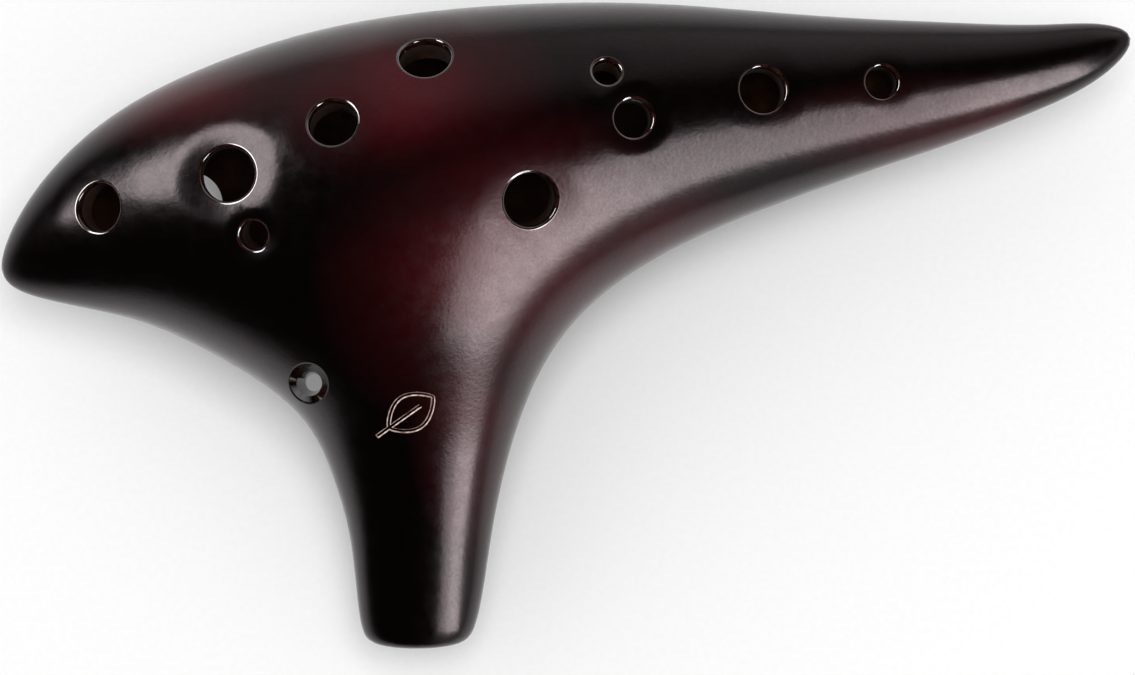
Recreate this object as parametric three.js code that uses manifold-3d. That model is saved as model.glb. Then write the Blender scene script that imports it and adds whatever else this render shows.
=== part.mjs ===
// Twelve-hole transverse ocarina in glazed clay, opened up into the clay members it is luted from.
// Millimetres, +Z up. It lies on its thumb side with its lowest point at Z = 0: +X runs to the tail tip,
// -Y to the mouthpiece, and the finger holes face +Z. The origin is under the middle of its box.
//
// The outside is one smooth skin blended over two chains of balls, one along the body and one along the
// neck. It is worked out with the neck straight, and then the neck is let down towards the thumb side.

import * as THREE from 'three';
import { mergeVertices } from 'three/addons/utils/BufferGeometryUtils.js';
import Module from 'manifold-3d';

const wasm = await Module();
wasm.setup();

// ---------------------------------------------------------------- driving dimensions

const WALL = 4.3; // clay thickness round the chamber
const GAP = 0.3; // slip line left between luted members
const FRONT_DEPTH = 0.86; // front half-depth of the body as a share of its half-width
const BACK_DEPTH = 0.84; // the same for the thumb side

const BALL_BLEND = 2.5; // blend reach between neighbouring balls of a chain
const NECK_BLEND = 14; // blend reach of the sweep from neck into body

// Body axis from head to tail: x, y, ball radius.
const BODY_STATIONS = [
  [-93, 9.25, -0.75], [-80, 15.75, 7.25], [-66, 20.5, 13.25], [-50, 21.5, 18.75],
  [-32, 23.5, 22.25], [-10, 29.25, 20], [13, 34.25, 16.25], [37, 37.5, 11.75],
  [61, 40.75, 7.5], [81, 44.25, 3.25], [94, 48.5, -0.75],
];
const BODY_BALLS = 56;

// Neck axis from beyond the mouthpiece up into the body: x, y, ball radius, depth share.
const NECK_STATIONS = [
  [-26, -60, 4, 0.66], [-25, -46, 5.75, 0.68], [-24.5, -34, 5.75, 0.74],
  [-24.75, -22, 7.25, 0.8], [-24.5, -8, 7.75, 0.84], [-29, 8, 10.75, 0.85],
];
const NECK_BALLS = 28;

const MOUTH_X = -25; // centre plane of mouthpiece, windway and window
const MOUTH_Y = -54.2; // mouthpiece end, on the neck axis
const LIP_BLEND = 1.3; // rounding of the lip
const LIP_FLAT = 0.8; // how far the end is faced off inside the rounding

const NECK_ANGLE = THREE.MathUtils.degToRad(9); // droop of the mouthpiece
const NECK_BEND = 16; // length over which the droop builds up, from Y = 0 down

const WINDWAY = {
  entryWidth: 10.6, exitWidth: 8.4, entryTop: -5.2, entryBottom: -8.4, exitTop: -11.8, exitBottom: -13,
};
const WINDOW = { width: 8.2, fromY: -12.4, toY: -7 };
const EDGE_Z = -12.5; // sharp edge of the labium
const TONGUE_WIDTH = 11; // passage from the chamber down to the window
const LABIUM = { width: 13, toY: 7.5, rampEndY: 5.6, rampEndZ: -23, insideEndZ: -17 };
const BLOCK = { width: 12.4, tipY: -43.5 };
const ROOF = { rootHalfWidth: 7.5, mouthHalfWidth: 16, taperFromY: -36, taperToY: -46 };

// Finger holes on the front, thumb holes on the back: x, y, bore, depth of the thumbed dish round it, and how
// far the bore leans with the skin, from upright at 0 to square with the skin at 1.
const FINGER_HOLES = [
  [-77, 19.6, 8, 0.4, 1], [-55, 24.7, 8.9, 1.1, 0], [-50.6, 14.7, 4.7, 0.8, 1], [-37.8, 33, 7.9, 0.5, 1],
  [-23.1, 44, 8.4, 0.5, 1], [-5.8, 20.4, 8.7, 0.4, 1], [6.6, 41.6, 4.5, 0.3, 1], [10.9, 33.9, 6.2, 0.9, 1],
  [32.3, 38.9, 7.6, 0.4, 1], [52.2, 40.4, 5.4, 0.3, 1],
];
const THUMB_HOLES = [[-64.9, 21.4, 10.6, 0.5, 0], [8, 27, 10, 0.5, 0]];
const DISH_REACH = 2.1; // dish radius as a multiple of the bore's radius
const STRAP_HOLE = { x: -42.6, y: -9.45, waist: 2.9, throat: 4.2, flare: 6.6, flareDepth: 2.6 };

const SKIN_CELL = 4.22; // facet size outside
const CHAMBER_CELL = 5.4; // facet size inside
const BORE_SIDES = 24;
const OVERCUT = 0.05; // how far a pocket's cutter runs into the space beside it

// ---------------------------------------------------------------- colours

const glaze = () => new THREE.MeshStandardMaterial({ color: 0x14090a, roughness: 0.2, metalness: 0 });
const clay = () => new THREE.MeshStandardMaterial({ color: 0x5a3524, roughness: 0.8, metalness: 0 });

// ---------------------------------------------------------------- the smooth skin

/** Catmull-Rom curve through rows of numbers, sampled evenly in its parameter. */
function sampleStations(stations, count) {
  const last = stations.length - 1;
  const beyond = (end, next) => end.map((v, k) => 2 * v - next[k]);
  const rows = [beyond(stations[0], stations[1]), ...stations, beyond(stations[last], stations[last - 1])];
  const samples = [];
  for (let n = 0; n < count; n += 1) {
    const t = (n / (count - 1)) * last;
    const i = Math.min(Math.floor(t), last - 1);
    const f = t - i;
    samples.push(rows[i].map((a, k) => {
      const [b, c, d] = [rows[i + 1][k], rows[i + 2][k], rows[i + 3][k]];
      const bend = (2 * a - 5 * b + 4 * c - d) * f * f + (3 * b - a - 3 * c + d) * f * f * f;
      return 0.5 * (2 * b + (c - a) * f + bend);
    }));
  }
  return samples;
}

const BODY_CHAIN = sampleStations(BODY_STATIONS, BODY_BALLS);
const NECK_CHAIN = sampleStations(NECK_STATIONS, NECK_BALLS);

/** Union of shapes given by their distances, blended over a reach. */
function blendUnion(distances, reach) {
  const nearest = Math.min(...distances);
  let sum = 0;
  for (const distance of distances) sum += Math.exp((nearest - distance) / reach);
  return nearest - reach * Math.log(sum);
}

/** Common part of shapes given by their distances, blended over a reach. */
function blendCommon(distances, reach) {
  return -blendUnion(distances.map((distance) => -distance), reach);
}

/** Distance to a chain of balls, squashed in depth by share(ball). */
function chainDistance(p, chain, share) {
  const toBall = (ball) => Math.hypot(p.x - ball[0], p.y - ball[1], p.z / share(ball)) - ball[2];
  return blendUnion(chain.map(toBall), BALL_BLEND);
}

const bodyDistance = (p) => chainDistance(p, BODY_CHAIN, () => (p.z > 0 ? FRONT_DEPTH : BACK_DEPTH));
const neckDistance = (p) => chainDistance(p, NECK_CHAIN, (ball) => ball[3]);
const hullDistance = (p) => blendUnion([bodyDistance(p), neckDistance(p)], NECK_BLEND);

/** How far the neck has been let down at y. */
function droop(y) {
  const run = Math.max(0, -y);
  const length = run < NECK_BEND ? (run * run) / (2 * NECK_BEND) : run - NECK_BEND / 2;
  return -Math.tan(NECK_ANGLE) * length;
}

/** Distance beyond the mouthpiece end, which is square to the neck's own axis. */
function beyondMouth(p) {
  const height = p.z + droop(p.y) - droop(MOUTH_Y);
  return -Math.cos(NECK_ANGLE) * (p.y - MOUTH_Y) - Math.sin(NECK_ANGLE) * height;
}

/** How deep the thumbed dishes are at a point on one side, front +1 or back -1. */
function dishDepth(p, holes) {
  let depth = 0;
  for (const [x, y, bore, dish] of holes) {
    const near = 1 - ((p.x - x) ** 2 + (p.y - y) ** 2) / ((bore / 2) * DISH_REACH) ** 2;
    if (near > 0) depth += dish * near * near;
  }
  return depth;
}

/** The outside: negative inside the clay. */
function skin(p) {
  const dished = hullDistance(p) + dishDepth(p, p.z > 0 ? FINGER_HOLES : THUMB_HOLES);
  return blendCommon([dished, beyondMouth(p)], LIP_BLEND);
}

/** The chamber: a wall's thickness inside the skin, and kept out of the neck. */
function chamber(p) {
  return blendCommon([hullDistance(p) + WALL, bodyDistance(p) + 1], 1.5);
}

function gradient(field, p) {
  const step = 0.02;
  const slope = (axis) => {
    const ahead = p.clone();
    const behind = p.clone();
    ahead[axis] += step;
    behind[axis] -= step;
    return (field(ahead) - field(behind)) / (2 * step);
  };
  return new THREE.Vector3(slope('x'), slope('y'), slope('z'));
}

const TAIL_TIP_Y = 48.5;

/** Grid limits that put a layer of cells on the parting surface and a row of them on the tail tip. */
const gridLimits = (cell) => ({
  low: new THREE.Vector3(-102, TAIL_TIP_Y - 26.5 * cell, -Math.ceil(30 / cell) * cell - cell / 2),
  high: new THREE.Vector3(102, 62, 32),
});

/** Closed facet mesh of field = 0: one vertex in each cell that the surface crosses. */
function skinMesh(field, cell) {
  const { low, high } = gridLimits(cell);
  const count = ['x', 'y', 'z'].map((axis) => Math.ceil((high[axis] - low[axis]) / cell) + 1);
  const at = (i, j, k) => (k * count[1] + j) * count[0] + i;
  const node = (i, j, k) => new THREE.Vector3(low.x + i * cell, low.y + j * cell, low.z + k * cell);
  const value = new Float64Array(count[0] * count[1] * count[2]);
  for (let k = 0; k < count[2]; k += 1) {
    for (let j = 0; j < count[1]; j += 1) {
      for (let i = 0; i < count[0]; i += 1) value[at(i, j, k)] = field(node(i, j, k));
    }
  }

  const corners = [0, 1, 2, 3, 4, 5, 6, 7].map((n) => [n & 1, (n >> 1) & 1, (n >> 2) & 1]);
  const edges = [];
  for (let a = 0; a < 8; a += 1) {
    for (const bit of [1, 2, 4]) if (!(a & bit)) edges.push([a, a | bit]);
  }
  const points = [];
  const pointOf = new Map();
  for (let k = 0; k + 1 < count[2]; k += 1) {
    for (let j = 0; j + 1 < count[1]; j += 1) {
      for (let i = 0; i + 1 < count[0]; i += 1) {
        const values = corners.map(([a, b, c]) => value[at(i + a, j + b, k + c)]);
        const crossings = edges.filter(([a, b]) => (values[a] < 0) !== (values[b] < 0));
        if (crossings.length === 0) continue;
        const middle = new THREE.Vector3();
        for (const [a, b] of crossings) {
          const f = values[a] / (values[a] - values[b]);
          const from = node(i + corners[a][0], j + corners[a][1], k + corners[a][2]);
          const to = node(i + corners[b][0], j + corners[b][1], k + corners[b][2]);
          middle.add(from.lerp(to, f));
        }
        middle.divideScalar(crossings.length);
        for (let pass = 0; pass < 4; pass += 1) {
          const slope = gradient(field, middle);
          middle.addScaledVector(slope, -field(middle) / slope.lengthSq());
        }
        pointOf.set(at(i, j, k), points.length);
        points.push(middle);
      }
    }
  }

  const triangles = [];
  const addQuad = (a, b, c, d) => {
    if (points[a].distanceTo(points[c]) < points[b].distanceTo(points[d])) triangles.push(a, b, c, a, c, d);
    else triangles.push(a, b, d, b, c, d);
  };
  const steps = [[1, 0, 0], [0, 1, 0], [0, 0, 1]];
  for (let k = 1; k + 1 < count[2]; k += 1) {
    for (let j = 1; j + 1 < count[1]; j += 1) {
      for (let i = 1; i + 1 < count[0]; i += 1) {
        for (let axis = 0; axis < 3; axis += 1) {
          const [s, u, v] = [steps[axis], steps[(axis + 1) % 3], steps[(axis + 2) % 3]];
          const here = value[at(i, j, k)] < 0;
          if (here === value[at(i + s[0], j + s[1], k + s[2])] < 0) continue;
          const ring = [[1, 1], [0, 1], [0, 0], [1, 0]].map(([a, b]) => {
            const cell = [i, j, k].map((n, c) => n - a * u[c] - b * v[c]);
            return pointOf.get(at(...cell));
          });
          addQuad(...(here ? ring : ring.reverse()));
        }
      }
    }
  }

  const geometry = new THREE.BufferGeometry();
  const lowered = points.flatMap((p) => [p.x, p.y, p.z + droop(p.y)]);
  geometry.setAttribute('position', new THREE.Float32BufferAttribute(lowered, 3));
  geometry.setIndex(triangles);
  return geometry;
}

// ---------------------------------------------------------------- solids

/** A closed three.js geometry as a solid that can be cut and joined. */
function solid(geometry) {
  const bare = geometry.clone();
  bare.deleteAttribute('normal');
  bare.deleteAttribute('uv');
  const merged = mergeVertices(bare, 1e-4);
  return new wasm.Manifold(new wasm.Mesh({
    numProp: 3,
    vertProperties: new Float32Array(merged.attributes.position.array),
    triVerts: new Uint32Array(merged.index.array),
  }));
}

/** Prism whose outline is given as [y, z] points, running along X. */
function prismAlongX(outline, fromX, toX) {
  const shape = new THREE.Shape(outline.map(([y, z]) => new THREE.Vector2(y, z)));
  const geometry = new THREE.ExtrudeGeometry(shape, { depth: toX - fromX, bevelEnabled: false });
  const turn = new THREE.Matrix4().makeBasis(
    new THREE.Vector3(0, 1, 0), new THREE.Vector3(0, 0, 1), new THREE.Vector3(1, 0, 0));
  geometry.applyMatrix4(turn);
  geometry.translate(fromX, 0, 0);
  return solid(geometry);
}

/** Prism whose outline is given as [x, y] points, running along Z. */
function prismAlongZ(outline, fromZ, toZ) {
  const shape = new THREE.Shape(outline.map(([x, y]) => new THREE.Vector2(x, y)));
  const geometry = new THREE.ExtrudeGeometry(shape, { depth: toZ - fromZ, bevelEnabled: false });
  geometry.translate(0, 0, fromZ);
  return solid(geometry);
}

/** Turned cutter whose profile is [radius, distance along axis], standing at a point along a direction. */
function turnedCutter(profile, at, along) {
  const geometry = new THREE.LatheGeometry(profile.map(([r, h]) => new THREE.Vector2(r, h)), BORE_SIDES);
  const turn = new THREE.Quaternion().setFromUnitVectors(new THREE.Vector3(0, 1, 0), along);
  geometry.applyQuaternion(turn);
  geometry.translate(at.x, at.y, at.z);
  return solid(geometry);
}

/** Point of the skin above or below (x, y), with the direction of a bore there, in the finished pose. */
function onSkin(x, y, side, lean = 1) {
  const p = new THREE.Vector3(x, y, 0);
  let near = 0;
  let far = 40;
  for (let pass = 0; pass < 30; pass += 1) {
    const middle = (near + far) / 2;
    p.z = side * middle;
    if (skin(p) < 0) near = middle;
    else far = middle;
  }
  const out = gradient(hullDistance, p).normalize().multiply(new THREE.Vector3(lean, lean, 1)).normalize();
  return { point: new THREE.Vector3(x, y, p.z + droop(y)), out };
}

/** Half-space above the parting surface (side +1) or below it (side -1), less half the slip line. */
function halfSpace(side) {
  const line = [[70, 0]];
  for (let y = 0; y > -NECK_BEND; y -= 2) line.push([y, droop(y)]);
  line.push([-NECK_BEND, droop(-NECK_BEND)], [-70, droop(-70)]);
  const near = line.map(([y, z]) => [y, z + (side * GAP) / 2]);
  return prismAlongX([...near, [-70, side * 60], [70, side * 60]], -110, 110);
}

function boreCutters() {
  const cutters = [];
  for (const [holes, side] of [[FINGER_HOLES, 1], [THUMB_HOLES, -1]]) {
    for (const [x, y, bore, , lean] of holes) {
      const { point, out } = onSkin(x, y, side, lean);
      const through = [[0, -WALL * 2.2], [bore / 2, -WALL * 2.2], [bore / 2, 3], [0, 3]];
      cutters.push(turnedCutter(through, point, out));
    }
  }
  return cutters;
}

/** Cord eye through the web beside the neck, flared at both mouths and narrowest in the middle. */
function strapCutter() {
  const { x, y, waist, throat, flare, flareDepth } = STRAP_HOLE;
  const top = onSkin(x, y, 1).point.z;
  const bottom = onSkin(x, y, -1).point.z;
  const profile = [
    [0, bottom - 3], [flare / 2 + 1.5, bottom - 3], [flare / 2, bottom], [throat / 2, bottom + flareDepth],
    [waist / 2, 0],
    [throat / 2, top - flareDepth], [flare / 2, top], [flare / 2 + 1.5, top + 3], [0, top + 3],
  ];
  return turnedCutter(profile, new THREE.Vector3(x, y, 0), new THREE.Vector3(0, 0, 1));
}

// ---------------------------------------------------------------- voicing: windway, window, labium

/** Height along a windway line at y, straight on past its ends. */
const windwayLine = (entry, exit, y) => entry + ((exit - entry) * (y - MOUTH_Y)) / (WINDOW.fromY - MOUTH_Y);
const windwayTop = (y) => windwayLine(WINDWAY.entryTop, WINDWAY.exitTop, y);
const windwayBottom = (y) => windwayLine(WINDWAY.entryBottom, WINDWAY.exitBottom, y);
const PAST_MOUTH = MOUTH_Y - 8;

function windwayCutter() {
  const profile = [
    [PAST_MOUTH, windwayBottom(PAST_MOUTH)], [WINDOW.fromY, WINDWAY.exitBottom],
    [WINDOW.fromY, WINDWAY.exitTop], [PAST_MOUTH, windwayTop(PAST_MOUTH)],
  ];
  const [entry, exit] = [WINDWAY.entryWidth / 2, WINDWAY.exitWidth / 2];
  const plan = [
    [MOUTH_X - entry, PAST_MOUTH], [MOUTH_X + entry, PAST_MOUTH],
    [MOUTH_X + exit, WINDOW.fromY], [MOUTH_X - exit, WINDOW.fromY],
  ];
  return prismAlongX(profile, MOUTH_X - 20, MOUTH_X + 20).intersect(prismAlongZ(plan, -40, 10));
}

/** Passage that joins the chamber to the window over the labium. */
function tongueCutter() {
  const profile = [
    [WINDOW.fromY, WINDWAY.exitBottom - 0.2], [WINDOW.toY, EDGE_Z], [LABIUM.toY + 3, LABIUM.insideEndZ - 1.2],
    [14, 4], [6, 8], [-6, 4], [WINDOW.fromY, -3],
  ];
  return prismAlongX(profile, MOUTH_X - TONGUE_WIDTH / 2, MOUTH_X + TONGUE_WIDTH / 2);
}

function windowCutter() {
  const profile = [
    [WINDOW.fromY, WINDWAY.exitBottom], [WINDOW.toY, EDGE_Z], [LABIUM.rampEndY, LABIUM.rampEndZ],
    [LABIUM.rampEndY, -40], [WINDOW.fromY, -40],
  ];
  return prismAlongX(profile, MOUTH_X - WINDOW.width / 2, MOUTH_X + WINDOW.width / 2);
}

/** Room for the wedge of clay between the windway and the parting surface. */
function blockPocket(play) {
  const top = (y) => [y, droop(y) - GAP / 2 - play];
  const [rootY, tipY] = [WINDOW.fromY - play, BLOCK.tipY + play];
  const profile = [
    [tipY, windwayTop(tipY) + play], [rootY, windwayTop(rootY) + play],
    top(rootY), top(-NECK_BEND + 2), top(-NECK_BEND), top(tipY),
  ];
  const half = BLOCK.width / 2 - play;
  return prismAlongX(profile, MOUTH_X - half, MOUTH_X + half);
}

/** Room for the roof between the windway and the back of the mouthpiece. */
function roofPocket(play) {
  const profile = [
    [PAST_MOUTH, windwayBottom(PAST_MOUTH) - play], [WINDOW.fromY - play, WINDWAY.exitBottom - play],
    [WINDOW.fromY - play, -40], [PAST_MOUTH, -40],
  ];
  const [root, mouth] = [ROOF.rootHalfWidth - play, ROOF.mouthHalfWidth - play];
  const plan = [
    [MOUTH_X - mouth, PAST_MOUTH], [MOUTH_X + mouth, PAST_MOUTH], [MOUTH_X + mouth, ROOF.taperToY],
    [MOUTH_X + root, ROOF.taperFromY], [MOUTH_X + root, WINDOW.fromY - play],
    [MOUTH_X - root, WINDOW.fromY - play], [MOUTH_X - root, ROOF.taperFromY],
    [MOUTH_X - mouth, ROOF.taperToY],
  ];
  return prismAlongX(profile, MOUTH_X - 20, MOUTH_X + 20).intersect(prismAlongZ(plan, -40, 10));
}

/** Room for the sharp-edged block that splits the air at the window. */
function labiumPocket(play) {
  const [half, toY] = [LABIUM.width / 2 - play, LABIUM.toY - play];
  const plan = [
    [MOUTH_X - half, WINDOW.toY], [MOUTH_X + half, WINDOW.toY], [MOUTH_X + half, toY], [MOUTH_X - half, toY],
  ];
  return prismAlongZ(plan, -40, EDGE_Z + 2.5);
}

// ---------------------------------------------------------------- the members

/** The whole outside, faced off flat at the mouthpiece end. */
function wholeSkin() {
  const rounded = solid(skinMesh(skin, SKIN_CELL));
  const lean = Math.tan(NECK_ANGLE);
  const faceY = MOUTH_Y + LIP_FLAT / Math.cos(NECK_ANGLE);
  const faceAt = (z) => [faceY - (z - droop(MOUTH_Y)) * lean, z];
  const beyond = prismAlongX([faceAt(20), faceAt(-50), [-90, -50], [-90, 20]], -60, 10);
  return rounded.subtract(beyond);
}

const outside = wholeSkin();
const hollow = solid(skinMesh(chamber, CHAMBER_CELL));
const walls = [...boreCutters(), strapCutter(), tongueCutter(), windowCutter()]
  .reduce((clayLeft, cutter) => clayLeft.subtract(cutter), outside.subtract(hollow));

const frontShell = walls.intersect(halfSpace(1)).subtract(windwayCutter());

const backShell = walls.intersect(halfSpace(-1))
  .subtract(windwayCutter())
  .subtract(blockPocket(-OVERCUT))
  .subtract(roofPocket(-OVERCUT))
  .subtract(labiumPocket(0));

const windwayBlock = blockPocket(GAP);
const windwayRoof = walls.intersect(halfSpace(-1)).intersect(roofPocket(GAP));
const labium = walls.intersect(labiumPocket(GAP));

/** One named member, moved so that the instrument stands on Z = 0 with the origin under its middle. */
function member(name, body, material, shift) {
  const { vertProperties, triVerts } = body.getMesh();
  const geometry = new THREE.BufferGeometry();
  geometry.setAttribute('position', new THREE.BufferAttribute(new Float32Array(vertProperties), 3));
  geometry.setIndex(new THREE.BufferAttribute(new Uint32Array(triVerts), 1));
  geometry.computeVertexNormals();
  const mesh = new THREE.Mesh(geometry, material);
  mesh.name = name;
  mesh.position.copy(shift);
  return mesh;
}

const box = outside.boundingBox();
const shift = new THREE.Vector3(-(box.min[0] + box.max[0]) / 2, -(box.min[1] + box.max[1]) / 2, -box.min[2]);

const ocarina = new THREE.Group();
ocarina.add(
  member('front_shell', frontShell, glaze(), shift),
  member('back_shell', backShell, glaze(), shift),
  member('windway_block', windwayBlock, clay(), shift),
  member('windway_roof', windwayRoof, glaze(), shift),
  member('labium', labium, glaze(), shift),
);

export default ocarina;
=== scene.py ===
"""Looks of the glazed clay ocarina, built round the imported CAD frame.

The outside is the smooth skin that the CAD part is faceted from: two chains of balls, one along the body
and one along the neck, blended into each other. Here it is meshed finely, each hole gets a glazed rim of
its own, and the mouthpiece, windway and window are cut as in the CAD part. Lengths are millimetres in the
ocarina's own drawing frame, with its parting surface at height 0, until a piece is placed in the frame.
"""

import math

import bmesh
import bpy
import numpy as np
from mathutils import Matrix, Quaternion, Vector
from mathutils.geometry import delaunay_2d_cdt


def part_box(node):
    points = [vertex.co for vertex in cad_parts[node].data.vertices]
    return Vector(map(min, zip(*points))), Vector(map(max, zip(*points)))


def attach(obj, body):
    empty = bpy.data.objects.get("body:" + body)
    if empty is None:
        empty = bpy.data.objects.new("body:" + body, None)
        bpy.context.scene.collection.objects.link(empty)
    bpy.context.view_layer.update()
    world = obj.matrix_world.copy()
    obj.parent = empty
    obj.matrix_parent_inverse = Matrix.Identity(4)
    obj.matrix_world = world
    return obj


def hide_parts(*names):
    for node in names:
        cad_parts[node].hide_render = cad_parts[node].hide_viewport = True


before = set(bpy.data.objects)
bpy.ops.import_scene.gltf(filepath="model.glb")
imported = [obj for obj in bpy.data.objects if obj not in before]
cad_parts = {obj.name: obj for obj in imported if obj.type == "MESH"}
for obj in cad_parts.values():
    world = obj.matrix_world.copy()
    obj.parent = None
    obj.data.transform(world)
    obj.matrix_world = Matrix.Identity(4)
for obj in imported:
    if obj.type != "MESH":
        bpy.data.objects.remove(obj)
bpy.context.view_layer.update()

# ---------------------------------------------------------------- dimensions, as in the CAD part

WALL = 4.3  # clay thickness round the chamber
GAP = 0.3  # slip line left between luted members
FRONT_DEPTH = 0.86  # front half-depth of the body as a share of its half-width
BACK_DEPTH = 0.84  # the same for the thumb side
BALL_BLEND = 2.5  # blend reach between neighbouring balls of a chain
NECK_BLEND = 14.0  # blend reach of the sweep from neck into body
CORE_INSET, CHAMBER_BLEND = 1.0, 1.5  # what keeps the chamber out of the neck

# Body axis from head to tail: x, y, ball radius.
BODY_STATIONS = [
    (-93, 9.25, -0.75), (-80, 15.75, 7.25), (-66, 20.5, 13.25), (-50, 21.5, 18.75),
    (-32, 23.5, 22.25), (-10, 29.25, 20), (13, 34.25, 16.25), (37, 37.5, 11.75),
    (61, 40.75, 7.5), (81, 44.25, 3.25), (94, 48.5, -0.75),
]
BODY_BALLS = 56

# Neck axis from beyond the mouthpiece up into the body: x, y, ball radius, depth share.
NECK_STATIONS = [
    (-26, -60, 4, 0.66), (-25, -46, 5.75, 0.68), (-24.5, -34, 5.75, 0.74),
    (-24.75, -22, 7.25, 0.8), (-24.5, -8, 7.75, 0.84), (-29, 8, 10.75, 0.85),
]
NECK_BALLS = 28

MOUTH_X = -25.0  # centre plane of mouthpiece, windway and window
MOUTH_Y = -54.2  # mouthpiece end, on the neck axis
LIP_BLEND = 1.3  # rounding of the lip
NECK_ANGLE = math.radians(9)  # droop of the mouthpiece
NECK_BEND = 16.0  # length over which the droop builds up, from y = 0 down

ENTRY_WIDTH, ENTRY_TOP, ENTRY_BOTTOM = 10.6, -5.2, -8.4
EXIT_WIDTH, EXIT_TOP, EXIT_BOTTOM = 8.4, -11.8, -13.0
WINDOW_WIDTH, WINDOW_FROM_Y, WINDOW_TO_Y = 8.2, -12.4, -7.0
EDGE_Z = -12.5  # sharp edge of the labium
TONGUE_WIDTH = 11.0  # passage from the chamber down to the window
LABIUM_WIDTH, LABIUM_TO_Y = 13.0, 7.5
RAMP_END_Y, RAMP_END_Z = 5.6, -23.0
INSIDE_END_Z = -17.0
BLOCK_WIDTH, BLOCK_TIP_Y = 12.4, -43.5
BLOCK_MIDDLE_Y = -14.0
ROOF_ROOT, ROOF_MOUTH, ROOF_TAPER_FROM_Y, ROOF_TAPER_TO_Y = 7.5, 16.0, -36.0, -46.0

# Side view of the tongue passage: its foot beyond the labium, and its corners in the chamber, as y and z.
TONGUE_FOOT_Y, TONGUE_FOOT_Z = LABIUM_TO_Y + 3, INSIDE_END_Z - 1.2
TONGUE_TOP = [(14, 4), (6, 8), (-6, 4), (WINDOW_FROM_Y, -3)]
TONGUE_LAP = 0.2  # how far it reaches below the windway's floor

# Finger holes on the front, thumb holes on the back: x, y, bore, depth of the thumbed dish round it, and
# how far the bore leans with the skin, from upright at 0 to square with the skin at 1.
FINGER_HOLES = [
    (-77, 19.6, 8, 0.4, 1), (-55, 24.7, 8.9, 1.1, 0), (-50.6, 14.7, 4.7, 0.8, 1),
    (-37.8, 33, 7.9, 0.5, 1), (-23.1, 44, 8.4, 0.5, 1), (-5.8, 20.4, 8.7, 0.4, 1),
    (6.6, 41.6, 4.5, 0.3, 1), (10.9, 33.9, 6.2, 0.9, 1), (32.3, 38.9, 7.6, 0.4, 1),
    (52.2, 40.4, 5.4, 0.3, 1),
]
THUMB_HOLES = [(-64.9, 21.4, 10.6, 0.5, 0), (8, 27, 10, 0.5, 0)]
DISH_REACH = 2.1  # dish radius as a multiple of the bore's radius
STRAP_X, STRAP_Y = -42.6, -9.45
STRAP_WAIST, STRAP_THROAT, STRAP_FLARE, STRAP_FLARE_DEPTH = 2.9, 4.2, 6.6, 2.6

# ---------------------------------------------------------------- choices of the fine model

SKIN_CELL = 1.0  # size of the skin's quads
CHAMBER_CELL = 2.0
NET_X, NET_Y, NET_HALF_DEPTH = (-102, 102), (-64, 62), 30  # box that holds the whole ocarina
EVENING_ROUNDS, EVENING_SHARE = 3, 0.5  # how much the skin's quads are evened out

RIM_POINTS = 88
RIM_ROUND = 0.55  # radius of the glazed rim of a finger hole
STRAP_ROUND = 0.4  # the same for the cord eye
ROUND_STEPS = 7  # steps round such a rim
BORE_STEPS = (0.2, 0.4, 0.7)  # rings down a bore, from the end of its rim at 0 to the chamber at 1
SKIN_CLEAR, CHAMBER_CLEAR = 0.8 * SKIN_CELL, 0.5 * CHAMBER_CELL  # cleared of faces round a hole's ring
HOLE_REACH = 8.0  # how far along a hole's axis the surface near it is looked for
FAR_OUT = 40.0  # height that is outside the skin everywhere
HALVINGS, NEWTON_STEPS = 40, 12  # steps that find a point on a surface

GLAZED_DEPTH = 1.6  # how far the glaze runs down into a hole
ON_SKIN = 0.01  # a point this near the skin is on it
EYE_REACH = STRAP_FLARE / 2 + 1  # round the cord eye's axis, glazed right through
EYE_RIM_DEPTH = STRAP_ROUND + 0.05  # down to here the cord eye keeps the skin's glaze
VOICING_REACH, VOICING_TO_Y = TONGUE_WIDTH / 2 + 1, 12.0  # windway and window, where cut faces stay bare
SHARP_ANGLE = math.radians(35)
TRUE_NORMAL_ANGLE = math.radians(38)  # faces on the skin within this of it get the skin's own normals

# The wine red patches of the glaze: centre and radii.
RED_PATCHES = [
    ((-9, 8, 20), (33, 31, 60)), ((-26, 38, 16), (26, 18, 60)), ((-15, -12, 8), (12, 30, 40)),
    ((-62, 38, 0), (32, 11, 34)), ((14, 14, 0), (24, 13, 30)), ((62, 33, 0), (34, 10, 30)),
]

LEAF_X, LEAF_Y = -25.6, -14.2  # engraved leaf on the neck
LEAF_LENGTH, LEAF_BULGE, LEAF_TURN = 9.0, 2.9, math.radians(35)
LEAF_POINTS, LEAF_FULLNESS = 25, 0.8  # along each edge, and below 1 for blunter tips
RIB_FROM, RIB_TO, RIB_POINTS = -0.78, 0.22, 14  # stalk and midrib, as shares of the leaf's length
GROOVE_RADIUS, GROOVE_LIFT, GROOVE_SIDES = 0.42, 0.2, 18  # tube that cuts the lines, lifted off the skin
GROOVE_START_Z = 14.0  # height over the neck from which the skin is found
GROOVE_FLOOR = 1.5  # deeper than any groove
PAINTED_GLINT_DEPTH = 0.14  # how far the painted glint on a groove's edge reaches down

# ---------------------------------------------------------------- the smooth skin


def sample_stations(stations, count):
    """Catmull-Rom curve through rows of numbers, sampled evenly in its parameter."""
    rows = np.array(stations, float)
    rows = np.vstack([2 * rows[0] - rows[1], rows, 2 * rows[-1] - rows[-2]])
    spans = len(stations) - 1
    t = np.linspace(0, spans, count)
    i = np.minimum(t.astype(int), spans - 1)
    f = (t - i)[:, None]
    a, b, c, d = rows[i], rows[i + 1], rows[i + 2], rows[i + 3]
    bend = (2 * a - 5 * b + 4 * c - d) * f**2 + (3 * b - a - 3 * c + d) * f**3
    return 0.5 * (2 * b + (c - a) * f + bend)


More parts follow.
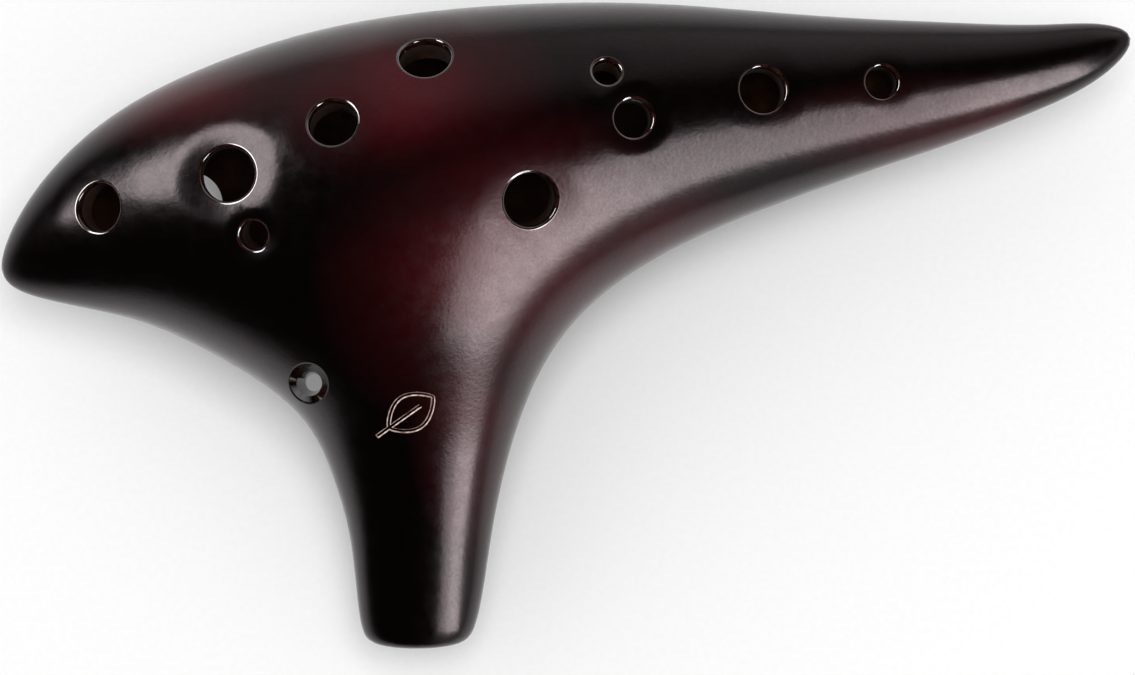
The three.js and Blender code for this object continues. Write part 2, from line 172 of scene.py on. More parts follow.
BODY_CHAIN = sample_stations(BODY_STATIONS, BODY_BALLS)
NECK_CHAIN = sample_stations(NECK_STATIONS, NECK_BALLS)


def chain_distance(p, chain, share):
    """Distance to a chain of balls squashed in depth by share, and its slope."""
    x, y, radius = (chain[:, k, None] for k in range(3))
    away = np.sqrt((p[:, 0] - x) ** 2 + (p[:, 1] - y) ** 2 + (p[:, 2] / share) ** 2) + 1e-9
    distance = away - radius
    nearest = distance.min(0)
    weight = np.exp((nearest - distance) / BALL_BLEND)
    total = weight.sum(0)
    pull = weight / total / away
    slope = np.stack([
        p[:, 0] * pull.sum(0) - (pull * x).sum(0),
        p[:, 1] * pull.sum(0) - (pull * y).sum(0),
        p[:, 2] * (pull / np.square(share)).sum(0),
    ], 1)
    return nearest - BALL_BLEND * np.log(total), slope


def blend(first, second, reach):
    """Union of two shapes, each given by its distance and slope, blended over a reach."""
    (a, slope_a), (b, slope_b) = first, second
    weight = 1 / (1 + np.exp(np.clip((a - b) / reach, -60, 60)))
    value = b - reach * np.logaddexp(0, (b - a) / reach)
    return value, slope_a * weight[:, None] + slope_b * (1 - weight)[:, None]


def body(p):
    return chain_distance(p, BODY_CHAIN, np.where(p[:, 2] > 0, FRONT_DEPTH, BACK_DEPTH))


def hull(p):
    return blend(body(p), chain_distance(p, NECK_CHAIN, NECK_CHAIN[:, 3, None]), NECK_BLEND)


def droop(y):
    """How far the neck has been let down at y, and its slope."""
    run = np.maximum(0.0, -np.asarray(y, float))
    length = np.where(run < NECK_BEND, run**2 / (2 * NECK_BEND), run - NECK_BEND / 2)
    return -math.tan(NECK_ANGLE) * length, math.tan(NECK_ANGLE) * np.minimum(run / NECK_BEND, 1)


def beyond_mouth(p):
    """Distance beyond the mouthpiece end, which is square to the neck's own axis."""
    down, down_slope = droop(p[:, 1])
    height = p[:, 2] + down - droop(MOUTH_Y)[0]
    value = -math.cos(NECK_ANGLE) * (p[:, 1] - MOUTH_Y) - math.sin(NECK_ANGLE) * height
    slope = np.zeros_like(p)
    slope[:, 1] = -math.cos(NECK_ANGLE) - math.sin(NECK_ANGLE) * down_slope
    slope[:, 2] = -math.sin(NECK_ANGLE)
    return value, slope


def dish(p, holes, side):
    """How deep the thumbed dishes are on one side, and their slope."""
    depth, slope = np.zeros(len(p)), np.zeros_like(p)
    for x, y, bore, deep, _ in holes:
        reach = bore / 2 * DISH_REACH
        off = p[:, :2] - (x, y)
        near = np.maximum(0, 1 - (off**2).sum(1) / reach**2) * (side * p[:, 2] > 0)
        depth += deep * near**2
        slope[:, :2] -= (4 * deep / reach**2 * near)[:, None] * off
    return depth, slope


def skin(p):
    """The outside, negative inside the clay, and its slope."""
    value, slope = hull(p)
    for holes, side in ((FINGER_HOLES, 1), (THUMB_HOLES, -1)):
        depth, depth_slope = dish(p, holes, side)
        value, slope = value + depth, slope + depth_slope
    end, end_slope = beyond_mouth(p)
    value, slope = blend((-value, -slope), (-end, -end_slope), LIP_BLEND)
    return -value, -slope


def chamber(p):
    """The chamber, negative inside it, and its slope."""
    value, slope = hull(p)
    core, core_slope = body(p)
    value, slope = blend((-value - WALL, -slope), (-core - CORE_INSET, -core_slope), CHAMBER_BLEND)
    return -value, -slope


def in_chunks(field, p, size=20000):
    """A field's values and slopes, worked out for some points at a time to save memory."""
    parts = [field(p[n:n + size]) for n in range(0, len(p), size)]
    return np.concatenate([v for v, _ in parts]), np.concatenate([s for _, s in parts])


def lowered(p):
    """Points of the straight drawing, moved to where the drooping neck has them."""
    moved = p.copy()
    moved[:, 2] += droop(p[:, 1])[0]
    return moved


# ---------------------------------------------------------------- meshes of the skin


def settle(points, field, seam, passes=4):
    """Moves points onto field = 0. Those of the seam stay on the parting plane."""
    for _ in range(passes):
        value, slope = in_chunks(field, points)
        slope[seam, 2] = 0
        points -= (value / (slope**2).sum(1))[:, None] * slope
    points[seam, 2] = 0


def relax(points, quads, field, seam):
    """Evens out the quads along the surface."""
    for _ in range(EVENING_ROUNDS):
        total, count = np.zeros_like(points), np.zeros(len(points))
        for a, b in ((0, 1), (1, 2), (2, 3), (3, 0)):
            for here, there in ((quads[:, a], quads[:, b]), (quads[:, b], quads[:, a])):
                np.add.at(total, here, points[there])
                np.add.at(count, here, 1)
        points += EVENING_SHARE * (total / count[:, None] - points)
        settle(points, field, seam, 2)


def net(field, cell, even):
    """Quads over field = 0, with one vertex in each grid cell that it crosses.

    One layer of cells straddles the parting plane, and its vertices are the seam.
    """
    layers = math.ceil(NET_HALF_DEPTH / cell)
    heights = (np.arange(-layers, layers) + 0.5) * cell
    axes = (np.arange(*NET_X, cell), np.arange(*NET_Y, cell), heights)
    grid = np.stack(np.meshgrid(*axes, indexing="ij"), -1)
    value = in_chunks(field, grid.reshape(-1, 3))[0].reshape(grid.shape[:3])
    inside = value < 0
    size = np.array(inside.shape) - 1
    corners = [np.array((n & 1, n >> 1 & 1, n >> 2 & 1)) for n in range(8)]
    full = np.zeros(size, int)
    for i, j, k in corners:
        full += inside[i:i + size[0], j:j + size[1], k:k + size[2]]
    cells = np.argwhere((full > 0) & (full < 8))
    number = np.full(size, -1)
    number[tuple(cells.T)] = np.arange(len(cells))

    total, hits = np.zeros((len(cells), 3)), np.zeros(len(cells))
    for a in range(8):
        for b in (a | 1, a | 2, a | 4):
            if b == a:
                continue
            start, end = tuple((cells + corners[a]).T), tuple((cells + corners[b]).T)
            crossed = inside[start] != inside[end]
            from_value, to_value = value[start][crossed], value[end][crossed]
            f = (from_value / (from_value - to_value))[:, None]
            total[crossed] += grid[start][crossed] * (1 - f) + grid[end][crossed] * f
            hits[crossed] += 1
    points = total / hits[:, None]
    seam = cells[:, 2] == layers - 1

    quads = []
    for axis in range(3):
        along, u, v = (np.eye(3, dtype=int)[(axis + k) % 3] for k in range(3))
        low = tuple(slice(0, n - s) for n, s in zip(inside.shape, along))
        high = tuple(slice(s, n) for n, s in zip(inside.shape, along))
        edge = np.argwhere(inside[low] != inside[high])
        cells_round = [edge - a * u - b * v for a, b in ((1, 1), (0, 1), (0, 0), (1, 0))]
        ring = np.stack([number[tuple(c.T)] for c in cells_round], 1)
        backwards = ~inside[tuple(edge.T)]
        ring[backwards] = ring[backwards][:, ::-1]
        quads.append(ring)
    quads = np.concatenate(quads)
    settle(points, field, seam)
    if even:
        relax(points, quads, field, seam)
    return points, quads


def inside_loop(spots, loop):
    """Which plane points are inside a closed loop of plane points."""
    a, b = loop, np.roll(loop, -1, 0)
    rise = np.where(a[:, 1] == b[:, 1], 1, b[:, 1] - a[:, 1])
    crossing = (a[:, 1] > spots[:, 1, None]) != (b[:, 1] > spots[:, 1, None])
    at = a[:, 0] + (spots[:, 1, None] - a[:, 1]) * (b[:, 0] - a[:, 0]) / rise
    return (crossing & (spots[:, 0, None] < at)).sum(1) % 2 == 1


def longest_edge(faces):
    """The longest closed run of edges that only one of the faces has."""
    edges = {(face[n], face[(n + 1) % len(face)]) for face in faces for n in range(len(face))}
    after = {a: b for a, b in edges if (b, a) not in edges}
    runs = []
    while after:
        start, here = next(iter(after.items()))
        run = [start]
        del after[start]
        while here != start:
            run.append(here)
            here = after.pop(here)
        runs.append(run)
    return max(runs, key=len)


class Sheet:
    """Points and faces of a surface that is being put together."""

    def __init__(self, points, faces, facing=1):
        self.points = [tuple(p) for p in points]
        self.faces = [tuple(int(n) for n in face) for face in faces]
        self.facing = facing

    def add_points(self, points):
        first = len(self.points)
        self.points += [tuple(p) for p in points]
        return list(range(first, len(self.points)))

    def strip(self, outer, inner):
        """Quads between two rings that run the same way round."""
        for n in range(len(outer)):
            m = (n + 1) % len(outer)
            self.faces.append((outer[n], outer[m], inner[m], inner[n]))

    def fill(self, loops, plane, facing):
        """Triangles between a loop and the loops inside it, seen in a plane's two directions."""
        ids = [n for loop in loops for n in loop]
        flat = np.array([self.points[n] for n in ids]) @ np.array(plane).T
        edges, start = [], 0
        for loop in loops:
            edges += [(start + n, start + (n + 1) % len(loop)) for n in range(len(loop))]
            start += len(loop)
        found = delaunay_2d_cdt([Vector(p) for p in flat], edges, [], 0, 1e-7)
        source = [near[0] if near else None for near in found[3]]
        triangles = np.array([[source[n] for n in face] for face in found[2]])
        middle = flat[triangles].mean(1)
        keep = inside_loop(middle, flat[:len(loops[0])])
        start = len(loops[0])
        for loop in loops[1:]:
            keep &= ~inside_loop(middle, flat[start:start + len(loop)])
            start += len(loop)
        for a, b, c in triangles[keep]:
            (ax, ay), (bx, by), (cx, cy) = flat[a], flat[b], flat[c]
            turn = (bx - ax) * (cy - ay) - (by - ay) * (cx - ax)
            face = (ids[a], ids[b], ids[c])
            self.faces.append(face if turn * facing > 0 else face[::-1])

    def open_ring(self, field, hole, radius, clear):
        """Cuts the surface back round a hole to a clean ring of points on it. Returns the ring."""
        off = np.array(self.points) - hole.centre
        height = off @ hole.axis
        near = (np.hypot(off @ hole.u, off @ hole.v) < radius + clear) & (np.abs(height) < HOLE_REACH)
        gone = [face for face in self.faces if near[list(face)].any()]
        if not gone:
            raise ValueError("a hole misses the surface")
        self.faces = [face for face in self.faces if not near[list(face)].any()]
        ring = self.add_points(hole.ring_on(field, radius))
        self.fill([longest_edge(gone), ring], (hole.u, hole.v), self.facing)
        return ring


class Hole:
    """A round hole: where its axis meets the skin, and its directions."""

    def __init__(self, x, y, bore, side, lean):
        self.radius = bore / 2
        low, high = 0.0, FAR_OUT
        for _ in range(HALVINGS):
            middle = (low + high) / 2
            if skin(np.array([[x, y, side * middle]]))[0][0] < 0:
                low = middle
            else:
                high = middle
        self.centre = np.array((x, y, side * low))
        slope = hull(self.centre[None])[1][0]
        self.axis = slope * (lean, lean, 1)
        self.axis /= np.linalg.norm(self.axis)
        self.u = np.cross((0, 1, 0), self.axis)
        self.u /= np.linalg.norm(self.u)
        self.v = np.cross(self.axis, self.u)
        turn = np.arange(RIM_POINTS) * 2 * math.pi / RIM_POINTS
        self.spokes = np.cos(turn)[:, None] * self.u + np.sin(turn)[:, None] * self.v

    def ring_on(self, field, radius):
        """Ring of points round the axis on field = 0."""
        points = self.centre + radius * self.spokes
        for _ in range(NEWTON_STEPS):
            value, slope = field(points)
            points = points - (value / (slope @ self.axis))[:, None] * self.axis
        return points

    def ring_at(self, radius, height):
        """Level ring round an upright hole's axis, at a distance from the parting plane."""
        points = self.centre + radius * self.spokes
        points[:, 2] = self.axis[2] * height
        return points

    def rim(self, sheet, start_ring, rounding):
        """Rounds the edge from a ring on the skin into the bore. Returns the last ring and its points."""
        start = np.array([sheet.points[n] for n in start_ring])
        slope = skin(start)[1]
        fall = -(slope * self.spokes).sum(1) / (slope @ self.axis)
        corner = start - rounding * (self.spokes + fall[:, None] * self.axis)
        end = corner - rounding * self.axis
        ring = start_ring
        for n in range(1, ROUND_STEPS + 1):
            t = n / ROUND_STEPS
            points = (1 - t) ** 2 * start + 2 * t * (1 - t) * corner + t**2 * end
            inner = sheet.add_points(points)
            sheet.strip(ring, inner)
            ring = inner
        return ring, end


def clay_half(side, skin_net, chamber_net):
    """One half of the vessel as a closed sheet, before the voicing is cut: front +1, back -1."""
    def half(points, quads):
        height = side * points[quads][:, :, 2]
        return quads[(height.min(1) > -1e-9) & (height.max(1) > 1e-9)]

    outer = Sheet(skin_net[0], half(*skin_net))
    inner = Sheet(chamber_net[0], half(*chamber_net)[:, ::-1], facing=-1)

    bores = []
    for x, y, bore, _, lean in FINGER_HOLES if side > 0 else THUMB_HOLES:
        hole = Hole(x, y, bore, side, lean)
        ring = outer.open_ring(skin, hole, hole.radius + RIM_ROUND, SKIN_CLEAR)
        ring, end = hole.rim(outer, ring, RIM_ROUND)
        chamber_ring = inner.open_ring(chamber, hole, hole.radius, CHAMBER_CLEAR)
        bores.append((ring, end, chamber_ring))

    strap = Hole(STRAP_X, STRAP_Y, STRAP_FLARE, side, 0)
    ring = outer.open_ring(skin, strap, strap.radius + STRAP_ROUND, SKIN_CLEAR)
    strap_ring, _ = strap.rim(outer, ring, STRAP_ROUND)
    throat = strap.ring_at(STRAP_THROAT / 2, abs(strap.centre[2]) - STRAP_FLARE_DEPTH)
    for points in (throat, strap.ring_at(STRAP_WAIST / 2, 0)):
        inner_ring = outer.add_points(points)
        outer.strip(strap_ring, inner_ring)
        strap_ring = inner_ring

    outer_edge, inner_edge = longest_edge(outer.faces), longest_edge(inner.faces)
    first = len(outer.points)
    outer.points += inner.points
    outer.faces += [tuple(n + first for n in face) for face in inner.faces]
    for ring, end, chamber_ring in bores:
        last = [n + first for n in chamber_ring]
        bottom = np.array([outer.points[n] for n in last])
        for step in BORE_STEPS:
            middle = outer.add_points(end * (1 - step) + bottom * step)
            outer.strip(ring, middle)
            ring = middle
        outer.strip(ring, last)

    outer.fill([outer_edge, [n + first for n in inner_edge], strap_ring], ((1, 0, 0), (0, 1, 0)), -side)
    return outer


# ---------------------------------------------------------------- solids and cuts


def new_object(name, points, faces):
    mesh = bpy.data.meshes.new(name)
    mesh.from_pydata([tuple(p) for p in points], [], faces)
    mesh.validate()
    obj = bpy.data.objects.new(name, mesh)
    bpy.context.scene.collection.objects.link(obj)
    return obj


def drop_loose(mesh):
    """Removes the vertices that no face uses."""
    bm = bmesh.new()
    bm.from_mesh(mesh)
    bmesh.ops.delete(bm, geom=[v for v in bm.verts if not v.link_faces], context="VERTS")
    bm.to_mesh(mesh)
    bm.free()


def face_outward(mesh):
    """Turns the faces of a closed mesh so that they all point out of it."""
    bm = bmesh.new()
    bm.from_mesh(mesh)
    bmesh.ops.recalc_face_normals(bm, faces=bm.faces)
    bm.to_mesh(mesh)
    bm.free()


def prism_x(outline, from_x, to_x):
    """Prism whose outline is given as (y, z), running along X."""
    return close_prism([(x, y, z) for x in (from_x, to_x) for y, z in outline])


def prism_z(outline, from_z, to_z):
    """Prism whose outline is given as (x, y), running along Z."""
    return close_prism([(x, y, z) for z in (from_z, to_z) for x, y in outline])


def close_prism(points):
    """Prism between the two equal outlines that its points are made of."""
    count = len(points) // 2
    sides = [(n, (n + 1) % count, (n + 1) % count + count, n + count) for n in range(count)]
    ends = [tuple(range(count))[::-1], tuple(range(count, 2 * count))]
    obj = new_object("cutter", points, sides + ends)
    face_outward(obj.data)
    return obj


def combine(obj, other, operation):
    """Replaces an object's mesh by its difference or common part with another."""
    change = obj.modifiers.new("combine", "BOOLEAN")
    change.operation, change.object, change.solver = operation, other, "MANIFOLD"
    evaluated = obj.evaluated_get(bpy.context.evaluated_depsgraph_get())
    mesh = bpy.data.meshes.new_from_object(evaluated)
    obj.modifiers.clear()
    old, obj.data = obj.data, mesh
    bpy.data.meshes.remove(old)


def discard(obj):
    """Removes an object and its mesh."""
    mesh = obj.data
    bpy.data.objects.remove(obj)
    bpy.data.meshes.remove(mesh)


def subtract(obj, *cutters):
    """Cuts solids out of an object and discards them."""
    for cutter in cutters:
        combine(obj, cutter, "DIFFERENCE")
        discard(cutter)
    return obj


def common(obj, other):
    """Keeps an object's common part with another, which is discarded."""
    combine(obj, other, "INTERSECT")
    discard(other)
    return obj


def duplicate(obj, name):
    copy = bpy.data.objects.new(name, obj.data.copy())
    bpy.context.scene.collection.objects.link(copy)
    return copy


# ---------------------------------------------------------------- voicing: windway, window, labium


def along_windway(entry, leave, y):
    """Height along a windway line at y, straight on past its ends."""
    return entry + (leave - entry) * (y - MOUTH_Y) / (WINDOW_FROM_Y - MOUTH_Y)


PAST_MOUTH = MOUTH_Y - 8
ROOM = 20.0  # more than the neck's half-width
UNDER, OVER = -40, 10  # heights under all clay, and over all of the neck that is cut
BLOCK_PLAY = 0.02  # keeps the block's faces out of the faces that were cut round it
LABIUM_OVER = 2.5  # how far the labium's clay reaches above its edge


def windway_cutter():
    """The windway: straight lines in side view, tapered in plan."""
    profile = [
        (PAST_MOUTH, along_windway(ENTRY_BOTTOM, EXIT_BOTTOM, PAST_MOUTH)), (WINDOW_FROM_Y, EXIT_BOTTOM),
        (WINDOW_FROM_Y, EXIT_TOP), (PAST_MOUTH, along_windway(ENTRY_TOP, EXIT_TOP, PAST_MOUTH)),
    ]
    entry, leave = ENTRY_WIDTH / 2, EXIT_WIDTH / 2
    plan = [
        (MOUTH_X - entry, PAST_MOUTH), (MOUTH_X + entry, PAST_MOUTH),
        (MOUTH_X + leave, WINDOW_FROM_Y), (MOUTH_X - leave, WINDOW_FROM_Y),
    ]
    return common(prism_x(profile, MOUTH_X - ROOM, MOUTH_X + ROOM), prism_z(plan, UNDER, OVER))


def tongue_cutter():
    """The passage from the chamber down to the window."""
    foot = [
        (WINDOW_FROM_Y, EXIT_BOTTOM - TONGUE_LAP), (WINDOW_TO_Y, EDGE_Z), (TONGUE_FOOT_Y, TONGUE_FOOT_Z),
    ]
    return prism_x(foot + TONGUE_TOP, MOUTH_X - TONGUE_WIDTH / 2, MOUTH_X + TONGUE_WIDTH / 2)


def window_cutter():
    """The sound window, with the labium's ramp on its far side."""
    profile = [
        (WINDOW_FROM_Y, EXIT_BOTTOM), (WINDOW_TO_Y, EDGE_Z), (RAMP_END_Y, RAMP_END_Z),
        (RAMP_END_Y, UNDER), (WINDOW_FROM_Y, UNDER),
    ]
    return prism_x(profile, MOUTH_X - WINDOW_WIDTH / 2, MOUTH_X + WINDOW_WIDTH / 2)


def block_prism(play=0.0):
    """The wedge of clay between the windway and the front of the neck, smaller by play all round."""
    root_y, tip_y = WINDOW_FROM_Y - play, BLOCK_TIP_Y + play
    profile = [(y, along_windway(ENTRY_TOP, EXIT_TOP, y) + play) for y in (tip_y, root_y)]
    profile += [(y, float(droop(y)[0]) - play) for y in (root_y, BLOCK_MIDDLE_Y, -NECK_BEND, tip_y)]
    half = BLOCK_WIDTH / 2 - play
    return prism_x(profile, MOUTH_X - half, MOUTH_X + half)


def roof_prism():
    """Space of the windway's roof, from the window out past the mouthpiece end."""
    profile = [
        (PAST_MOUTH, along_windway(ENTRY_BOTTOM, EXIT_BOTTOM, PAST_MOUTH)), (WINDOW_FROM_Y, EXIT_BOTTOM),
        (WINDOW_FROM_Y, UNDER), (PAST_MOUTH, UNDER),
    ]
    half = [
        (ROOF_MOUTH, PAST_MOUTH), (ROOF_MOUTH, ROOF_TAPER_TO_Y),
        (ROOF_ROOT, ROOF_TAPER_FROM_Y), (ROOF_ROOT, WINDOW_FROM_Y),
    ]
    plan = [(MOUTH_X + w, y) for w, y in half] + [(MOUTH_X - w, y) for w, y in half[::-1]]
    return common(prism_x(profile, MOUTH_X - ROOM, MOUTH_X + ROOM), prism_z(plan, UNDER, OVER))


def labium_prism():
    """Space of the labium's insert."""
    half = LABIUM_WIDTH / 2
    plan = [
        (MOUTH_X - half, WINDOW_TO_Y), (MOUTH_X + half, WINDOW_TO_Y),
        (MOUTH_X + half, LABIUM_TO_Y), (MOUTH_X - half, LABIUM_TO_Y),
    ]
    return prism_z(plan, UNDER, EDGE_Z + LABIUM_OVER)


# ---------------------------------------------------------------- the engraved leaf


def leaf_lines():
    """Plan views of the leaf's lines: its two edges as one closed line, and its midrib and stalk."""
    cos, sin = math.cos(LEAF_TURN), math.sin(LEAF_TURN)

    def place(line):
        return line @ np.array(((cos, -sin), (sin, cos))).T + (LEAF_X, LEAF_Y)

    t = np.linspace(0, 1, LEAF_POINTS)
    side = np.stack([(t - 0.5) * LEAF_LENGTH, LEAF_BULGE * np.sin(math.pi * t) ** LEAF_FULLNESS], 1)
    back = side[::-1][1:-1] * (1, -1)
    rib = np.stack([np.linspace(RIB_FROM, RIB_TO, RIB_POINTS) * LEAF_LENGTH, np.zeros(RIB_POINTS)], 1)
    return [(place(np.vstack([side, back])), True), (place(rib), False)]


def groove_cutter(line, closed):
    """Thin tube that runs along a line on the front skin."""
    points = np.column_stack([line, np.full(len(line), GROOVE_START_Z)])
    for _ in range(NEWTON_STEPS):
        value, slope = skin(points)
        points[:, 2] -= value / slope[:, 2]
    slope = skin(points)[1]
    points = lowered(points)
    slope[:, 1] -= slope[:, 2] * droop(line[:, 1])[1]
    out = slope / np.linalg.norm(slope, axis=1)[:, None]
    ahead = np.roll(points, -1, 0) - np.roll(points, 1, 0) if closed else np.gradient(points, axis=0)
    across = np.cross(ahead, out)
    across /= np.linalg.norm(across, axis=1)[:, None]
    turns = [2 * math.pi * n / GROOVE_SIDES for n in range(GROOVE_SIDES)]
    centre = points + GROOVE_LIFT * out
    rings = [centre + GROOVE_RADIUS * (math.cos(t) * across + math.sin(t) * out) for t in turns]
    number = np.arange(len(line) * GROOVE_SIDES).reshape(-1, GROOVE_SIDES).tolist()
    faces = []
    for n in range(len(line) if closed else len(line) - 1):
        here, there = number[n], number[(n + 1) % len(line)]
        for k in range(GROOVE_SIDES):
            j = (k + 1) % GROOVE_SIDES
            faces.append((here[k], here[j], there[j], there[k]))
    if not closed:
        faces += [tuple(number[0]), tuple(number[-1][::-1])]
    obj = new_object("groove", np.stack(rings, 1).reshape(-1, 3), faces)
    face_outward(obj.data)
    return obj


# ---------------------------------------------------------------- placing and shading

GLAZE, CLAY, RIM, PAINTED_GLINT = 0, 1, 2, 3  # places of the materials on a piece


def frame_shift():
    """From the drawing frame to the part's frame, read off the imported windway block."""
    low, high = (np.array(c) * 1000 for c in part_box("windway_block"))
    root_y = WINDOW_FROM_Y - GAP
    top = float(droop(root_y)[0]) - GAP / 2 - GAP
    return np.array(((low[0] + high[0]) / 2 - MOUTH_X, high[1] - root_y, high[2] - top))


def vectors(items, key):
    """Three numbers of each item of a mesh, as rows."""
    flat = np.empty(len(items) * 3)
    items.foreach_get(key, flat)
    return flat.reshape(-1, 3)


def choose_materials(mesh, node, points, drawn, value):
    """Gives each face its glaze or clay, by where it lies and how far inside the skin it is."""
    shell = node in ("front_shell", "back_shell")
    kinds = ["glaze", "bare_clay"]
    if shell:
        kinds.append("rim_glaze")
    if node == "front_shell":
        kinds.append("painted_glint_glaze")
    mesh.materials.clear()
    for kind in kinds:
        mesh.materials.append(MATERIALS[kind])

    on_skin = np.abs(value) < ON_SKIN
    near_skin = value > -GLAZED_DEPTH
    voicing = (np.abs(drawn[:, 0] - MOUTH_X) < VOICING_REACH) & (points[:, 1] < VOICING_TO_Y)
    voicing &= points[:, 2] < 0
    eye = np.hypot(drawn[:, 0] - STRAP_X, drawn[:, 1] - STRAP_Y) < EYE_REACH
    in_leaf = np.hypot(drawn[:, 0] - LEAF_X, drawn[:, 1] - LEAF_Y) < LEAF_LENGTH
    in_leaf &= (value < ON_SKIN) & (value > -GROOVE_FLOOR) & (drawn[:, 2] > 0)
    for face in mesh.polygons:
        face.use_smooth = True
        ids = list(face.vertices)
        skin_face, eye_face = on_skin[ids].all(), eye[ids].all()
        glazed = eye_face or near_skin[ids].all() and (skin_face or not voicing[ids].all())
        depth = -value[ids].mean()
        face.material_index = GLAZE if glazed else CLAY
        if skin_face or not shell:
            continue
        # the edges of the leaf's grooves get the painted glint, pale pink that stands for light caught on
        # them
        if in_leaf[ids].all():
            if depth < PAINTED_GLINT_DEPTH:
                face.material_index = PAINTED_GLINT
        elif glazed and (depth > EYE_RIM_DEPTH or not eye_face):
            face.material_index = RIM


def shading_normals(mesh, on_skin, slope):
    """Normals of the faces' corners: the skin's true ones on the skin, and the mesh's own elsewhere."""
    normals = vectors(mesh.corner_normals, "vector")
    corner = np.empty(len(mesh.loops), int)
    mesh.loops.foreach_get("vertex_index", corner)
    sizes = np.array([len(face.vertices) for face in mesh.polygons])
    of_face = np.repeat(vectors(mesh.polygons, "normal"), sizes, 0)
    true = on_skin[corner] & ((of_face * slope[corner]).sum(1) > math.cos(TRUE_NORMAL_ANGLE))
    normals[true] = slope[corner][true]
    return [tuple(n) for n in normals]


def finish_piece(obj, node):
    """Shades a piece, puts it in the frame, names it after the node it stands for and hides that node's CAD
    part.
    """
    mesh = obj.data
    points = vectors(mesh.vertices, "co")
    drawn = points.copy()
    drawn[:, 2] -= droop(points[:, 1])[0]
    value, slope = in_chunks(skin, drawn)
    slope[:, 1] -= slope[:, 2] * droop(points[:, 1])[1]
    slope /= np.linalg.norm(slope, axis=1)[:, None]

    choose_materials(mesh, node, points, drawn, value)
    mesh.set_sharp_from_angle(angle=SHARP_ANGLE)
    normals = shading_normals(mesh, np.abs(value) < ON_SKIN, slope)
    mesh.vertices.foreach_set("co", ((points + SHIFT) / 1000).ravel())
    mesh.update()
    mesh.normals_split_custom_set(normals)
    obj.name = mesh.name = node + "_fine"
    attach(obj, "root")
    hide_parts(node)


# ---------------------------------------------------------------- materials


class Nodes:
    """Shorthand for building one material's nodes."""

    def __init__(self, name):
        self.material = bpy.data.materials.new(name)
        self.material.use_nodes = True
        self.tree = self.material.node_tree
        self.shader = self.tree.nodes["Principled BSDF"]
        self.place = self.add("ShaderNodeTexCoord").outputs["Object"]

    def add(self, kind, **settings):
        node = self.tree.nodes.new(kind)
        for key, value in settings.items():
            setattr(node, key, value)
        return node

    def link(self, source, target):
        self.tree.links.new(source, target)

    def noise(self, scale, detail=4.0, roughness=0.5, distortion=0.0):
        """Noise whose features are about 1/scale metres across."""
        node = self.add("ShaderNodeTexNoise")
        self.link(self.place, node.inputs["Vector"])
        node.inputs["Scale"].default_value = scale
        node.inputs["Detail"].default_value = detail
        node.inputs["Roughness"].default_value = roughness
        node.inputs["Distortion"].default_value = distortion
        return node.outputs["Fac"]

    def mottle(self, scale, low, high, **shape):
        """Noise that varies between two values."""
        return self.spread(self.noise(scale, **shape), 0.3, 0.7, low, high)

    def calculate(self, operation, a, b):
        """Result of a calculation on two values."""
        node = self.add("ShaderNodeMath", operation=operation)
        self.link(a, node.inputs[0])
        self.link(b, node.inputs[1])
        return node.outputs["Value"]

    def ramp(self, source, stops):
        """Colour ramp through (position, colour) stops."""
        node = self.add("ShaderNodeValToRGB")
        while len(node.color_ramp.elements) < len(stops):
            node.color_ramp.elements.new(0.5)
        for element, (position, colour) in zip(node.color_ramp.elements, stops):
            element.position = position
            element.color = (*colour, 1)
        self.link(source, node.inputs["Fac"])
        return node.outputs["Color"]

    def spread(self, source, low, high, out_low, out_high):
        """Maps a value from one range to another."""
        node = self.add("ShaderNodeMapRange")
        limits = {"From Min": low, "From Max": high, "To Min": out_low, "To Max": out_high}
        for key, value in limits.items():
            node.inputs[key].default_value = value
        self.link(source, node.inputs["Value"])
        return node.outputs["Result"]

    def near(self, centre, radii):
        """1 round a point of the drawing, falling to 0 at the radii."""
        offset = self.add("ShaderNodeVectorMath", operation="SUBTRACT")
        self.link(self.place, offset.inputs[0])
        offset.inputs[1].default_value = (np.array(centre) + SHIFT) / 1000
        share = self.add("ShaderNodeVectorMath", operation="DIVIDE")
        self.link(offset.outputs["Vector"], share.inputs[0])
        share.inputs[1].default_value = np.array(radii) / 1000
        length = self.add("ShaderNodeVectorMath", operation="LENGTH")
        self.link(share.outputs["Vector"], length.inputs[0])
        return self.spread(length.outputs["Value"], 0.25, 1.0, 1.0, 0.0)

    def bump(self, source, distance, strength, below=None):
        """Normal bent by a height, on top of a coarser bump below it if there is one."""
        node = self.add("ShaderNodeBump")
        node.inputs["Distance"].default_value = distance
        node.inputs["Strength"].default_value = strength
        self.link(source, node.inputs["Height"])
        if below is not None:
            self.link(below, node.inputs["Normal"])
        return node.outputs["Normal"]


def glaze_material():
    """Deep gloss glaze, near black with smoky patches of wine red, and a fine leathery surface."""
    n = Nodes("wine_black_glaze")
    red = n.near(*RED_PATCHES[0])
    for place, radii in RED_PATCHES[1:]:
        red = n.calculate("MAXIMUM", red, n.near(place, radii))
    cloud = n.spread(n.noise(22, detail=3, roughness=0.5, distortion=0.6), 0.3, 0.6, 0.35, 1.0)
    black_to_red = [
        (0.0, (0.0012, 0.0003, 0.0003)), (0.35, (0.014, 0.0003, 0.0008)), (1.0, (0.048, 0.0006, 0.003)),
    ]
    smoky = n.ramp(n.calculate("MULTIPLY", red, cloud), black_to_red)
    n.link(smoky, n.shader.inputs["Base Color"])
    n.link(n.mottle(420, 0.18, 0.26, detail=5, roughness=0.6), n.shader.inputs["Roughness"])
    n.shader.inputs["IOR"].default_value = 1.5
    n.shader.inputs["Specular Tint"].default_value = (1.0, 0.85, 0.88, 1)
    n.link(n.mottle(2400, 0.46, 0.58, detail=2), n.shader.inputs["Specular IOR Level"])
    hand = n.bump(n.noise(70, detail=2), 0.00035, 0.15)
    peel = n.bump(n.noise(1500, detail=2), 0.00003, 0.5, below=hand)
    n.link(peel, n.shader.inputs["Normal"])
    return n.material


